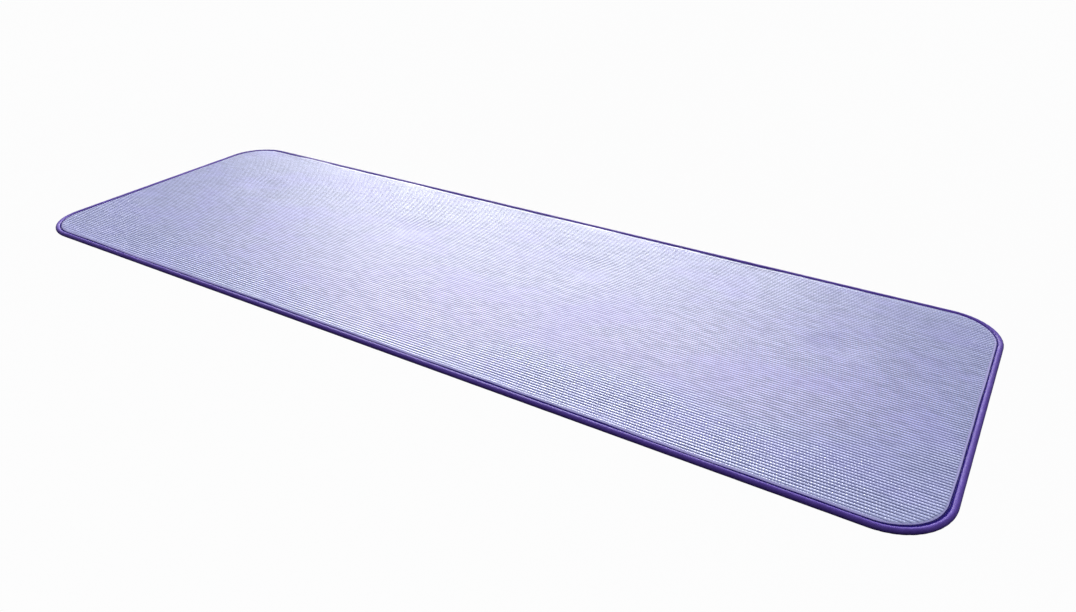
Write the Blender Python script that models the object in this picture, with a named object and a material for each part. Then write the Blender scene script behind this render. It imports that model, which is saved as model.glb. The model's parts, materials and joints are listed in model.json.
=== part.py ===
"""Flat far-infrared heated blanket: four thin quilted panels that fold into quarters.

Frame: metres, +X along the length (the head end is at -X), +Y towards the edge with the power inlet, +Z up.
The origin is the centre of the underside.
"""

import math

import bmesh
import bpy
from mathutils import Matrix, Vector

# ---- driving dimensions ----
LENGTH = 1.820
WIDTH = 0.620
THICKNESS = 0.010
CORNER_RADIUS = 0.090
GAP = 0.0003  # clearance between neighbouring pieces
FOLD_GAP = 0.0005  # half the slit between two panels
CORNER_STEPS = 8
CUT_PAST = 0.0020  # how far a cutter runs past the surface that it opens
TOUCH = 1e-6
SHARP_ANGLE = math.radians(40)

# ---- fold lines ----
OUTER_FOLD_X = 0.4565
OUTER_FOLD_Z = THICKNESS + FOLD_GAP
FOLD_LIFT = 0.0007  # a folded end panel stops just short of a half turn, so its free end stands higher
CENTRE_FOLD_Z = 2 * THICKNESS + 3 * FOLD_GAP + FOLD_LIFT

# ---- layers, from the floor up: (name, underside, top, inset from the outline, colour, roughness) ----
COVER_INSET = 0.0100
CORE_INSET = 0.0180
LAYERS = (
    ("bottom_cover", 0.0000, 0.0008, COVER_INSET, (0.10, 0.06, 0.17), 0.90),
    ("lower_foam", 0.0011, 0.0029, CORE_INSET, (0.85, 0.84, 0.80), 0.95),
    ("heat_reflector", 0.0032, 0.0035, CORE_INSET, (0.80, 0.81, 0.83), 0.25),
    ("heater_felt", 0.0038, 0.0044, CORE_INSET, (0.88, 0.86, 0.80), 0.95),
    ("upper_foam", 0.0064, 0.0082, CORE_INSET, (0.90, 0.89, 0.86), 0.95),
    ("top_cover", 0.0085, 0.0100, COVER_INSET, (0.62, 0.62, 0.82), 0.70),
)

# ---- colours of the other pieces ----
PURPLE_CLOTH = (0.13, 0.07, 0.24)
UNDYED_COTTON = (0.86, 0.85, 0.82)
WIRE_RED = (0.55, 0.10, 0.08)
BLACK_NYLON = (0.05, 0.05, 0.06)
BLACK_RUBBER = (0.03, 0.03, 0.03)
CREAM_NYLON = (0.75, 0.74, 0.70)
CLEAR_SILICONE = (0.85, 0.85, 0.83)
BRASS = (0.80, 0.62, 0.30)
BOARD_GREEN = (0.05, 0.22, 0.10)
STEEL = (0.60, 0.60, 0.62)
LIVE_BROWN = (0.35, 0.18, 0.08)
NEUTRAL_BLUE = (0.08, 0.20, 0.55)
SENSOR_WHITE = (0.85, 0.85, 0.85)
DARK_CASE = (0.12, 0.12, 0.13)
EPOXY = (0.70, 0.45, 0.20)

# ---- binding (a welt with a sewn flange) and the cord inside it ----
WELT_RADIUS = 0.0048
WELT_BORE = 0.0036
WELT_Z = 0.0050
WELT_SIDES = 12
FLANGE_HALF = 0.0004
FLANGE_TIP = 0.0115
CORD_RADIUS = WELT_BORE - GAP
CORD_SIDES = 10

# ---- heating wire ----
WIRE_RADIUS = 0.0007
WIRE_Z = 0.0054
WIRE_SIDES = 6
RUN_PITCH = 0.0415
RUN_COUNT = 10
RUN_Y = 0.245
TURN_RADIUS = 0.012
TURN_STEPS = 3
FIRST_RUN_OFFSET = 0.0300
HEAD_FIRST_RUN_X = -0.8750
LEAD_IN_Y = 0.2540

# ---- power inlet, in the back edge of the head panel ----
INLET_X = -0.6880
INLET_Z = 0.0047
SHELL_HALF_X = 0.0300
SHELL_HALF_Z = 0.0035
SHELL_BACK_Y = 0.2620
SHELL_FRONT_Y = 0.2982
NOSE_HALF_X = 0.0220
NOSE_HALF_Z = 0.0027
NOSE_FRONT_Y = 0.3097
NOSE_ROOT = 0.0040  # how far the nose reaches back into the shell's body
CAVITY_HALF_X = 0.0195
CAVITY_HALF_Z = 0.0021
CAVITY_BACK_Y = 0.2645
POCKET_CLEARANCE = 0.0008
INSERT_Y = (0.2840, 0.2960)
PIN_OFFSETS = (-0.0120, -0.0040, 0.0040, 0.0120)
PIN_Y = (0.2720, 0.3060)
PIN_RADIUS = 0.0007
PIN_TIP_SCALE = 0.45
BOARD_THICKNESS = 0.0009
BOARD_Y = (CAVITY_BACK_Y + 0.0010, INSERT_Y[0] - 0.0005)
BOARD_Z = (INLET_Z - CAVITY_HALF_Z + GAP, INLET_Z - CAVITY_HALF_Z + GAP + BOARD_THICKNESS)
GASKET_Y = (SHELL_FRONT_Y + GAP, 0.3001)
GASKET_HALF = (0.0260, 0.0035)
SCREW_OFFSET_X = 0.0248
SCREW_Y = 0.2760
SCREW_RADIUS = 0.0011
SCREW_HEAD_RADIUS = 0.0019
SCREW_HEAD_Z = (0.0015, 0.0027)
SCREW_TOP_Z = 0.0068
SCREW_CHAMFER = 0.0004

# ---- leads and sensing ----
LEAD_RADIUS = 0.0006
LEAD_START_Y = PIN_Y[0] - GAP
LEAD_BEND = 0.0015
LIVE_OFFSET = PIN_OFFSETS[0]
NEUTRAL_OFFSET = PIN_OFFSETS[1]
SENSOR_OFFSET = (PIN_OFFSETS[2] + PIN_OFFSETS[3]) / 2
LIVE_Y = 0.2575
NEUTRAL_Y = 0.2515
THERMOSTAT = ((-0.7405, 0.2545, 0.0047), (-0.7253, 0.2605, 0.0081))
SPLICE = ((-0.7560, 0.2485, 0.0047), (-0.7408, 0.2600, 0.0077))
SENSOR_HALF_X = 0.0030
SENSOR = (
    (INLET_X + SENSOR_OFFSET - SENSOR_HALF_X, 0.0200, 0.0047),
    (INLET_X + SENSOR_OFFSET + SENSOR_HALF_X, 0.0360, 0.0077),
)
CASE_BEVEL = 0.0006
END_CAP_LENGTH = 0.0160
END_CAP_RADIUS = 0.0017

# ---- the four panels: name, lowest X, highest X ----
PANELS = (
    ("head", -LENGTH / 2, -OUTER_FOLD_X - FOLD_GAP),
    ("chest", -OUTER_FOLD_X + FOLD_GAP, -FOLD_GAP),
    ("hip", FOLD_GAP, OUTER_FOLD_X - FOLD_GAP),
    ("foot", OUTER_FOLD_X + FOLD_GAP, LENGTH / 2),
)


# ---- scene and materials ----
def clear_scene():
    for obj in list(bpy.data.objects):
        bpy.data.objects.remove(obj, do_unlink=True)


def material(name, colour, roughness, metallic=0.0):
    mat = bpy.data.materials.new(name)
    mat.use_nodes = True
    shader = mat.node_tree.nodes["Principled BSDF"]
    shader.inputs["Base Color"].default_value = (*colour, 1.0)
    shader.inputs["Roughness"].default_value = roughness
    shader.inputs["Metallic"].default_value = metallic
    return mat


def fold_empty(name, location, parent=None):
    """An empty on a fold's axis. Everything that turns about that fold is parented to it."""
    empty = bpy.data.objects.new(name, None)
    bpy.context.collection.objects.link(empty)
    empty.location = location
    if parent is not None:
        place_under(empty, parent, location)
    return empty


def place_under(obj, parent, world_location):
    obj.parent = parent
    base = Vector((0.0, 0.0, 0.0))
    ancestor = parent
    while ancestor is not None:
        base += ancestor.location
        ancestor = ancestor.parent
    obj.location = Vector(world_location) - base


def finish(bm, name, colour, roughness, metallic=0.0, smooth=False):
    """Turn a bmesh in world coordinates into an object with its own material."""
    bmesh.ops.recalc_face_normals(bm, faces=bm.faces)
    mesh = bpy.data.meshes.new(name)
    bm.to_mesh(mesh)
    bm.free()
    if smooth:
        mesh.shade_smooth()
        mesh.set_sharp_from_angle(angle=SHARP_ANGLE)
    obj = bpy.data.objects.new(name, mesh)
    bpy.context.collection.objects.link(obj)
    mesh.materials.append(material(name, colour, roughness, metallic))
    return obj


# ---- shapes ----
def prism(outline, low, high):
    """A bmesh prism: a flat outline extruded along Z from low to high."""
    bm = bmesh.new()
    face = bm.faces.new([bm.verts.new((x, y, low)) for x, y in outline])
    result = bmesh.ops.extrude_face_region(bm, geom=[face])
    lifted = [item for item in result["geom"] if isinstance(item, bmesh.types.BMVert)]
    bmesh.ops.translate(bm, vec=(0, 0, high - low), verts=lifted)
    return bm


def box(low, high):
    bm = bmesh.new()
    size = [h - l for l, h in zip(low, high)]
    centre = [(h + l) / 2 for l, h in zip(low, high)]
    bmesh.ops.create_cube(bm, size=1.0, matrix=Matrix.Translation(centre) @ Matrix.Diagonal((*size, 1.0)))
    return bm


def cylinder(centre, radius, length, axis, sides=16):
    """A closed cylinder whose middle is at centre, along axis."""
    bm = bmesh.new()
    turn = Vector((0, 0, 1)).rotation_difference(Vector(axis)).to_matrix().to_4x4()
    bmesh.ops.create_cone(
        bm,
        cap_ends=True,
        segments=sides,
        radius1=radius,
        radius2=radius,
        depth=length,
        matrix=Matrix.Translation(centre) @ turn,
    )
    return bm


def cut(obj, cutter_bm, name):
    """Take a cutter's volume away from an object with a Boolean modifier."""
    cutter = finish(cutter_bm, name, (0.5, 0.5, 0.5), 0.5)
    cutter.hide_render = True
    cutter.display_type = "WIRE"
    modifier = obj.modifiers.new(name, "BOOLEAN")
    modifier.operation = "DIFFERENCE"
    modifier.solver = "EXACT"
    modifier.object = cutter
    return cutter


def join(obj, other_bm, name):
    """Add a shape to an object with a Boolean union."""
    other = cut(obj, other_bm, name)
    obj.modifiers[name].operation = "UNION"
    return other


def loop_of(bm, points):
    return [bm.verts.new(point) for point in points]


def bridge(bm, first, second):
    """Quads between two loops with the same number of points."""
    count = len(first)
    for i in range(count):
        j = (i + 1) % count
        bm.faces.new((first[i], first[j], second[j], second[i]))


def ring_points(station, profile):
    """Profile points (outwards, upwards) placed at a station (x, y, z, outward x, outward y)."""
    x, y, z, nx, ny = station
    return [(x + out * nx, y + out * ny, z + up) for out, up in profile]


def sweep(path, outer, bore=None):
    """Sweep a profile along stations. With a bore it is a tube that is open at both ends."""
    bm = bmesh.new()
    outside = [loop_of(bm, ring_points(station, outer)) for station in path]
    for first, second in zip(outside, outside[1:]):
        bridge(bm, first, second)
    if bore is None:
        bm.faces.new(outside[0])
        bm.faces.new(outside[-1])
        return bm
    inside = [loop_of(bm, ring_points(station, bore)) for station in path]
    for first, second in zip(inside, inside[1:]):
        bridge(bm, first, second)
    bridge(bm, outside[0], inside[0])
    bridge(bm, outside[-1], inside[-1])
    return bm


def circle(radius, sides, start=0.0):
    angles = [start + 2 * math.pi * i / sides for i in range(sides)]
    return [(radius * math.cos(a), radius * math.sin(a)) for a in angles]


def wire(points, radius, sides=WIRE_SIDES):
    """A round wire through points that all lie at one height, mitred where it turns."""
    points = [Vector(point) for point in points]
    legs = [(after - before).normalized() for before, after in zip(points, points[1:])]
    path = []
    for i, point in enumerate(points):
        into = legs[max(i - 1, 0)]
        out_of = legs[min(i, len(legs) - 1)]
        along = (into + out_of).normalized()
        stretch = 1.0 / into.dot(along)
        path.append((point.x, point.y, WIRE_Z, along.y * stretch, -along.x * stretch))
    return sweep(path, circle(radius, sides, start=math.pi / sides))


# ---- outlines ----
def arc(centre, radius, start_deg, end_deg, steps=CORNER_STEPS):
    points = []
    for i in range(steps + 1):
        angle = math.radians(start_deg + (end_deg - start_deg) * i / steps)
        points.append((centre[0] + radius * math.cos(angle), centre[1] + radius * math.sin(angle)))
    return points


def panel_outline(low_x, high_x, inset):
    """Outline of a layer in one panel, with the blanket's rounded corners where the panel is an end one."""
    half_y = WIDTH / 2 - inset
    radius = CORNER_RADIUS - inset
    centre_y = WIDTH / 2 - CORNER_RADIUS
    centre_x = LENGTH / 2 - CORNER_RADIUS
    if low_x <= -LENGTH / 2:
        rounded = arc((-centre_x, centre_y), radius, 90, 180) + arc((-centre_x, -centre_y), radius, 180, 270)
        return rounded + [(high_x, -half_y), (high_x, half_y)]
    if high_x >= LENGTH / 2:
        rounded = arc((centre_x, -centre_y), radius, 270, 360) + arc((centre_x, centre_y), radius, 0, 90)
        return rounded + [(low_x, half_y), (low_x, -half_y)]
    return [(low_x, -half_y), (high_x, -half_y), (high_x, half_y), (low_x, half_y)]


def edge_arc(centre_x, centre_y, start_deg, end_deg, z):
    """Stations round a corner of the welt's centre line."""
    radius = CORNER_RADIUS - WELT_RADIUS
    stations = []
    for i in range(CORNER_STEPS + 1):
        angle = math.radians(start_deg + (end_deg - start_deg) * i / CORNER_STEPS)
        nx, ny = math.cos(angle), math.sin(angle)
        stations.append((centre_x + radius * nx, centre_y + radius * ny, z, nx, ny))
    return stations


def end_path(side, fold_x):
    """Welt stations round one end: from the front fold, round both corners, to the back fold."""
    edge_y = WIDTH / 2 - WELT_RADIUS
    centre_x = side * (LENGTH / 2 - CORNER_RADIUS)
    centre_y = WIDTH / 2 - CORNER_RADIUS
    front_turn = (270, 180) if side < 0 else (270, 360)
    back_turn = (180, 90) if side < 0 else (0, 90)
    path = [(fold_x, -edge_y, WELT_Z, 0.0, -1.0)]
    path += edge_arc(centre_x, -centre_y, *front_turn, WELT_Z)
    path += edge_arc(centre_x, centre_y, *back_turn, WELT_Z)
    path.append((fold_x, edge_y, WELT_Z, 0.0, 1.0))
    return path


def straight_path(low_x, high_x, side):
    edge_y = side * (WIDTH / 2 - WELT_RADIUS)
    return [(x, edge_y, WELT_Z, 0.0, float(side)) for x in (low_x, high_x)]


# ---- layers ----
def make_layer(layer, panel):
    name, low_z, high_z, inset, colour, roughness = layer
    panel_name, low_x, high_x = panel
    bm = prism(panel_outline(low_x, high_x, inset), low_z, high_z)
    metallic = 1.0 if name == "heat_reflector" else 0.0
    return finish(bm, f"{name}_{panel_name}", colour, roughness, metallic)


def cut_inlet_pocket(obj, name):
    """Core layers stop short of the inlet's shell."""
    low = (INLET_X - SHELL_HALF_X - POCKET_CLEARANCE, SHELL_BACK_Y - POCKET_CLEARANCE, -CUT_PAST)
    high = (INLET_X + SHELL_HALF_X + POCKET_CLEARANCE, WIDTH / 2, THICKNESS + CUT_PAST)
    cut(obj, box(low, high), name)


def cut_component_pocket(obj, name, component):
    """A window in the upper foam round a component that is taller than the wire space."""
    low, high = component
    grow = POCKET_CLEARANCE
    low = (low[0] - grow, low[1] - grow, WIRE_Z)
    high = (high[0] + grow, high[1] + grow, THICKNESS)
    cut(obj, box(low, high), name)


# ---- binding and cord ----
def welt_profiles():
    """The outer profile, with its sewn flange, and a bore that matches it point by point."""
    root = math.degrees(math.asin(FLANGE_HALF / WELT_RADIUS))
    angles = [root - 180 + (360 - 2 * root) * i / WELT_SIDES for i in range(WELT_SIDES + 1)]
    outer = [on_circle(WELT_RADIUS, angle) for angle in angles]
    outer += [(-FLANGE_TIP, FLANGE_HALF), (-FLANGE_TIP, -FLANGE_HALF)]
    bore = [on_circle(WELT_BORE, angle) for angle in angles]
    bore += [on_circle(WELT_BORE, 180 - root / 3), on_circle(WELT_BORE, root / 3 - 180)]
    return outer, bore


def on_circle(radius, degrees):
    return radius * math.cos(math.radians(degrees)), radius * math.sin(math.radians(degrees))


def make_binding(name, path):
    outer, bore = welt_profiles()
    return finish(sweep(path, outer, bore), name, PURPLE_CLOTH, 0.8, smooth=True)


def make_cord(name, path):
    profile = circle(CORD_RADIUS, CORD_SIDES, start=math.pi / CORD_SIDES)
    return finish(sweep(path, profile), name, UNDYED_COTTON, 0.9, smooth=True)


def head_cords(path):
    """The head cord is in two lengths, because the power inlet interrupts it."""
    edge_y = WIDTH / 2 - WELT_RADIUS
    clear = NOSE_HALF_X + 2 * GAP
    main = path[:-1] + [(INLET_X - clear, edge_y, WELT_Z, 0.0, 1.0)]
    rest = [(INLET_X + clear, edge_y, WELT_Z, 0.0, 1.0), path[-1]]
    return make_cord("piping_cord_head", main), make_cord("piping_cord_head_back", rest)


def cut_inlet_window(obj):
    """The nose passes through the welt, and the flange stops beside the shell."""
    nose = box(
        (INLET_X - NOSE_HALF_X - GAP, WIDTH / 2 - 3 * WELT_RADIUS, INLET_Z - NOSE_HALF_Z - GAP),
        (INLET_X + NOSE_HALF_X + GAP, WIDTH / 2 + WELT_RADIUS, INLET_Z + NOSE_HALF_Z + GAP),
    )
    cut(obj, nose, "inlet_window_cutter")
    flange = box(
        (INLET_X - SHELL_HALF_X - POCKET_CLEARANCE, WIDTH / 2 - 4 * WELT_RADIUS, INLET_Z - 2 * FLANGE_HALF),
        (INLET_X + SHELL_HALF_X + POCKET_CLEARANCE, GASKET_Y[1] + GAP, INLET_Z + 2 * FLANGE_HALF),
    )
    cut(obj, flange, "inlet_flange_cutter")


# ---- heating wire ----
def turn_points(centre_x, y_sign, direction):
    """Half a turn between two runs, at the +Y or -Y ends of the runs."""
    centre_y = y_sign * (RUN_Y - TURN_RADIUS)
    first = centre_x - direction * RUN_PITCH / 2
    last = centre_x + direction * RUN_PITCH / 2
    points = []
    for i in range(TURN_STEPS + 1):
        angle = math.pi / 2 * i / TURN_STEPS
        x = first + direction * TURN_RADIUS * (1 - math.cos(angle))
        points.append((x, centre_y + y_sign * TURN_RADIUS * math.sin(angle)))
    for i in range(TURN_STEPS + 1):
        angle = math.pi / 2 * (1 - i / TURN_STEPS)
        x = last - direction * TURN_RADIUS * (1 - math.cos(angle))
        points.append((x, centre_y + y_sign * TURN_RADIUS * math.sin(angle)))
    return points


def corner_points(corner_x, corner_y, enter, leave):
    """A quarter turn at a corner, entered along one direction and left along another."""
    start = Vector((corner_x, corner_y)) - TURN_RADIUS * Vector(enter)
    end = Vector((corner_x, corner_y)) + TURN_RADIUS * Vector(leave)
    centre = start + TURN_RADIUS * Vector(leave)
    points = []
    for i in range(TURN_STEPS + 1):
        angle = math.pi / 2 * i / TURN_STEPS
        offset = Vector(enter) * math.sin(angle) - Vector(leave) * math.cos(angle)
        points.append(tuple(centre + TURN_RADIUS * offset))
    points[-1] = tuple(end)
    return points


def serpentine(first_x):
    """Runs across the blanket, the first one towards -Y and the last one towards +Y."""
    points = []
    for i in range(RUN_COUNT - 1):
        middle = first_x + (i + 0.5) * RUN_PITCH
        points += turn_points(middle, -1 if i % 2 == 0 else 1, 1)
    return points


def make_heating_wire(panel):
    panel_name, low_x, high_x = panel
    if panel_name == "head":
        first_x = HEAD_FIRST_RUN_X
        points = [(SPLICE[0][0] - GAP, LEAD_IN_Y)]
        points += corner_points(first_x, LEAD_IN_Y, (-1, 0), (0, -1))
    else:
        first_x = low_x + FIRST_RUN_OFFSET
        points = [(low_x, RUN_Y)]
        points += corner_points(first_x, RUN_Y, (1, 0), (0, -1))
    points += serpentine(first_x)
    last_x = first_x + (RUN_COUNT - 1) * RUN_PITCH
    if panel_name == "foot":
        points.append((last_x, RUN_Y - TURN_RADIUS))
    else:
        points += corner_points(last_x, RUN_Y, (0, 1), (1, 0))
        points.append((high_x, RUN_Y))
    return finish(wire(points, WIRE_RADIUS), f"heating_wire_{panel_name}", WIRE_RED, 0.5, smooth=True)


def end_cap_bounds(foot_low_x):
    last_x = foot_low_x + FIRST_RUN_OFFSET + (RUN_COUNT - 1) * RUN_PITCH
    start_y = RUN_Y - TURN_RADIUS + GAP
    low_z = WIRE_Z - WIRE_RADIUS
    low = (last_x - END_CAP_RADIUS, start_y, low_z)
    return low, (last_x + END_CAP_RADIUS, start_y + END_CAP_LENGTH, low_z + 2 * END_CAP_RADIUS)


def make_end_cap(bounds):
    """A moulded cap that joins and seals the cable's two conductors at its far end."""
    centre = (Vector(bounds[0]) + Vector(bounds[1])) / 2
    bm = cylinder(centre, END_CAP_RADIUS, END_CAP_LENGTH, (0, 1, 0), sides=12)
    return finish(bm, "wire_end_cap", CLEAR_SILICONE, 0.4, smooth=True)


# ---- power inlet ----
def shell_outlines():
    """The shell seen from above: a wide body, and a narrower nose at the front."""
    half, nose = SHELL_HALF_X, NOSE_HALF_X
    return [
        (INLET_X - half, SHELL_BACK_Y),
        (INLET_X + half, SHELL_BACK_Y),
        (INLET_X + half, SHELL_FRONT_Y),
        (INLET_X - half, SHELL_FRONT_Y),
    ], [
        (INLET_X - nose, SHELL_FRONT_Y - NOSE_ROOT),
        (INLET_X + nose, SHELL_FRONT_Y - NOSE_ROOT),
        (INLET_X + nose, NOSE_FRONT_Y),
        (INLET_X - nose, NOSE_FRONT_Y),
    ]


def make_shell(name, side):
    """One half of the inlet's shell. side is +1 for the upper half and -1 for the lower half."""
    body, nose = shell_outlines()
    split = INLET_Z + side * GAP / 2
    shell = finish(prism(body, *sorted((split, INLET_Z + side * SHELL_HALF_Z))), name, BLACK_NYLON, 0.45)
    join(shell, prism(nose, *sorted((split, INLET_Z + side * NOSE_HALF_Z))), f"{name}_nose")
    cavity = box(
        (INLET_X - CAVITY_HALF_X, CAVITY_BACK_Y, INLET_Z - CAVITY_HALF_Z),
        (INLET_X + CAVITY_HALF_X, NOSE_FRONT_Y + CUT_PAST, INLET_Z + CAVITY_HALF_Z),
    )
    cut(shell, cavity, f"{name}_cavity")
    hole_low, hole_high = (INLET_Z, SCREW_TOP_Z + GAP) if side > 0 else (0.0, INLET_Z + CUT_PAST)
    for offset, tag in ((-SCREW_OFFSET_X, "left"), (SCREW_OFFSET_X, "right")):
        cut_screw_hole(shell, f"{name}_hole_{tag}", offset, SCREW_RADIUS, hole_low, hole_high)
        if side < 0:
            sink_top = SCREW_HEAD_Z[1] + GAP
            cut_screw_hole(shell, f"{name}_sink_{tag}", offset, SCREW_HEAD_RADIUS, 0.0, sink_top)
    return shell


def cut_screw_hole(shell, name, offset, radius, low_z, high_z):
    centre = (INLET_X + offset, SCREW_Y, (low_z + high_z) / 2)
    cut(shell, cylinder(centre, radius + GAP, high_z - low_z, (0, 0, 1)), name)


def cut_lead_slots(shell):
    """Slots in the upper shell's back wall that let the leads out."""
    for tag, offset in (("live", LIVE_OFFSET), ("neutral", NEUTRAL_OFFSET), ("sensor", SENSOR_OFFSET)):
        half = LEAD_RADIUS + GAP
        slot = box(
            (INLET_X + offset - half, SHELL_BACK_Y - CUT_PAST, INLET_Z - CUT_PAST),
            (INLET_X + offset + half, CAVITY_BACK_Y + CUT_PAST, WIRE_Z + half),
        )
        cut(shell, slot, f"lead_slot_{tag}")


def make_insert():
    half_x, half_z = CAVITY_HALF_X - GAP, CAVITY_HALF_Z - GAP
    low = (INLET_X - half_x, INSERT_Y[0], INLET_Z - half_z)
    high = (INLET_X + half_x, INSERT_Y[1], INLET_Z + half_z)
    insert = finish(box(low, high), "inlet_insert", CREAM_NYLON, 0.5)
    middle = sum(INSERT_Y) / 2
    length = INSERT_Y[1] - INSERT_Y[0] + 2 * CUT_PAST
    for number, offset in enumerate(PIN_OFFSETS, start=1):
        hole = cylinder((INLET_X + offset, middle, INLET_Z), PIN_RADIUS + GAP, length, (0, 1, 0), sides=12)
        cut(insert, hole, f"pin_hole_{number}")
    return insert


def make_pin(number, offset):
    """A round contact pin with a coned tip."""
    tip = 2 * PIN_RADIUS
    shank = PIN_Y[1] - tip - PIN_Y[0]
    middle = PIN_Y[0] + shank / 2
    pin = cylinder((INLET_X + offset, middle, INLET_Z), PIN_RADIUS, shank, (0, 1, 0), sides=12)
    front = max(vert.co.y for vert in pin.verts)
    cap = [face for face in pin.faces if all(abs(vert.co.y - front) < TOUCH for vert in face.verts)]
    result = bmesh.ops.extrude_face_region(pin, geom=cap)
    moved = [item for item in result["geom"] if isinstance(item, bmesh.types.BMVert)]
    bmesh.ops.delete(pin, geom=cap, context="FACES_ONLY")
    bmesh.ops.translate(pin, vec=(0, tip, 0), verts=moved)
    centre = Vector((INLET_X + offset, 0, INLET_Z))
    for vert in moved:
        vert.co.x = centre.x + (vert.co.x - centre.x) * PIN_TIP_SCALE
        vert.co.z = centre.z + (vert.co.z - centre.z) * PIN_TIP_SCALE
    return finish(pin, f"contact_pin_{number}", BRASS, 0.25, 1.0, smooth=True)


def make_board():
    half_x = CAVITY_HALF_X - GAP
    low = (INLET_X - half_x, BOARD_Y[0], BOARD_Z[0])
    high = (INLET_X + half_x, BOARD_Y[1], BOARD_Z[1])
    return finish(box(low, high), "terminal_board", BOARD_GREEN, 0.5)


def make_gasket():
    half_x, half_z = GASKET_HALF
    low = (INLET_X - half_x, GASKET_Y[0], INLET_Z - half_z)
    high = (INLET_X + half_x, GASKET_Y[1], INLET_Z + half_z)
    ring = finish(box(low, high), "inlet_gasket", BLACK_RUBBER, 0.8)
    hole = box(
        (INLET_X - NOSE_HALF_X - GAP, GASKET_Y[0] - CUT_PAST, INLET_Z - NOSE_HALF_Z - GAP),
        (INLET_X + NOSE_HALF_X + GAP, GASKET_Y[1] + CUT_PAST, INLET_Z + NOSE_HALF_Z + GAP),
    )
    cut(ring, hole, "gasket_hole")
    return ring


def make_screw(number, offset):
    """A pan-head screw, driven up from the lower shell into the upper one."""
    profile = [
        (0.0, SCREW_TOP_Z),
        (SCREW_RADIUS, SCREW_TOP_Z),
        (SCREW_RADIUS, SCREW_HEAD_Z[1]),
        (SCREW_HEAD_RADIUS, SCREW_HEAD_Z[1]),
        (SCREW_HEAD_RADIUS, SCREW_HEAD_Z[0] + SCREW_CHAMFER),
        (SCREW_HEAD_RADIUS - SCREW_CHAMFER, SCREW_HEAD_Z[0]),
        (0.0, SCREW_HEAD_Z[0]),
    ]
    bm = bmesh.new()
    verts = [bm.verts.new((radius, 0, z)) for radius, z in profile]
    edges = [bm.edges.new(pair) for pair in zip(verts, verts[1:])]
    bmesh.ops.spin(
        bm, geom=verts + edges, cent=(0, 0, 0), axis=(0, 0, 1), angle=2 * math.pi, steps=12, use_merge=True
    )
    bmesh.ops.remove_doubles(bm, verts=bm.verts, dist=TOUCH)
    bmesh.ops.translate(bm, vec=(INLET_X + offset, SCREW_Y, 0), verts=bm.verts)
    return finish(bm, f"shell_screw_{number}", STEEL, 0.3, 1.0, smooth=True)


# ---- leads, thermostat, splice and sensor ----
def make_lead(name, points, colour):
    return finish(wire(points, LEAD_RADIUS), name, colour, 0.45, smooth=True)


def bent_lead(offset, run_y, end_x):
    """Points from the terminal board out of the shell, then along the blanket towards the head end."""
    x = INLET_X + offset
    return [(x, LEAD_START_Y), (x, run_y + LEAD_BEND), (x - LEAD_BEND, run_y), (end_x, run_y)]


def make_leads():
    live = bent_lead(LIVE_OFFSET, LIVE_Y, THERMOSTAT[1][0] + GAP)
    neutral = bent_lead(NEUTRAL_OFFSET, NEUTRAL_Y, SPLICE[1][0] + GAP)
    sensor_x = INLET_X + SENSOR_OFFSET
    sensor = [(sensor_x, LEAD_START_Y), (sensor_x, SENSOR[1][1] + GAP)]
    return (
        make_lead("live_lead", live, LIVE_BROWN),
        make_lead("neutral_lead", neutral, NEUTRAL_BLUE),
        make_lead("sensor_lead", sensor, SENSOR_WHITE),
    )


def make_component(name, bounds, colour):
    bm = box(*bounds)
    bmesh.ops.bevel(bm, geom=list(bm.edges), offset=CASE_BEVEL, segments=1, affect="EDGES")
    return finish(bm, name, colour, 0.45)


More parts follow.
